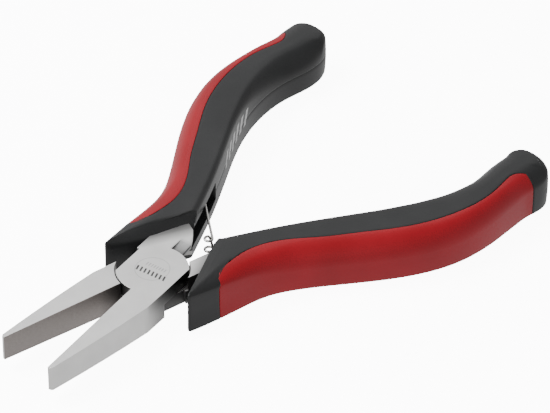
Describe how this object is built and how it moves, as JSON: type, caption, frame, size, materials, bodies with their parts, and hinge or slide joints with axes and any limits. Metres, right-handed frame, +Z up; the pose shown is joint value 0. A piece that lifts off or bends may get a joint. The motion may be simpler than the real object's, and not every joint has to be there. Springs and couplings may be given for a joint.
{
  "type": "flat nose pliers",
  "caption": "Small flat nose pliers with smooth tapered jaws, a lap joint, a wire return spring and two-colour grips, held open by the spring.",
  "frame": {"origin": "on the pivot axis, at the flat underside of the head", "axes": "+X from the pivot to the handles along the line midway between them, +Z up along the pivot axis"},
  "size_m": [0.1123, 0.0726, 0.0098],
  "materials": {
    "steel": "satin",
    "spring_steel": "drawn wire",
    "black_plastic": "satin moulded",
    "red_insert": "satin moulded"
  },
  "bodies": {
    "upper": {"upper_half": "steel", "pivot_rivet": "steel", "upper_half_sleeve": "black_plastic", "upper_half_insert": "red_insert", "return_spring": "spring_steel"},
    "lower": {"lower_half": "steel", "lower_half_sleeve": "black_plastic", "lower_half_insert": "red_insert"}
  },
  "joints": [
    {"name": "jaws", "type": "hinge", "parent": "upper", "child": "lower", "pos_m": [0, 0, 0.0032], "axis": [0, 0, 1], "range_deg": [0, 20.34], "stiffness_Nm_per_rad": 0.6, "springref_deg": -5.73, "deforming": ["return_spring"]}
  ]
}
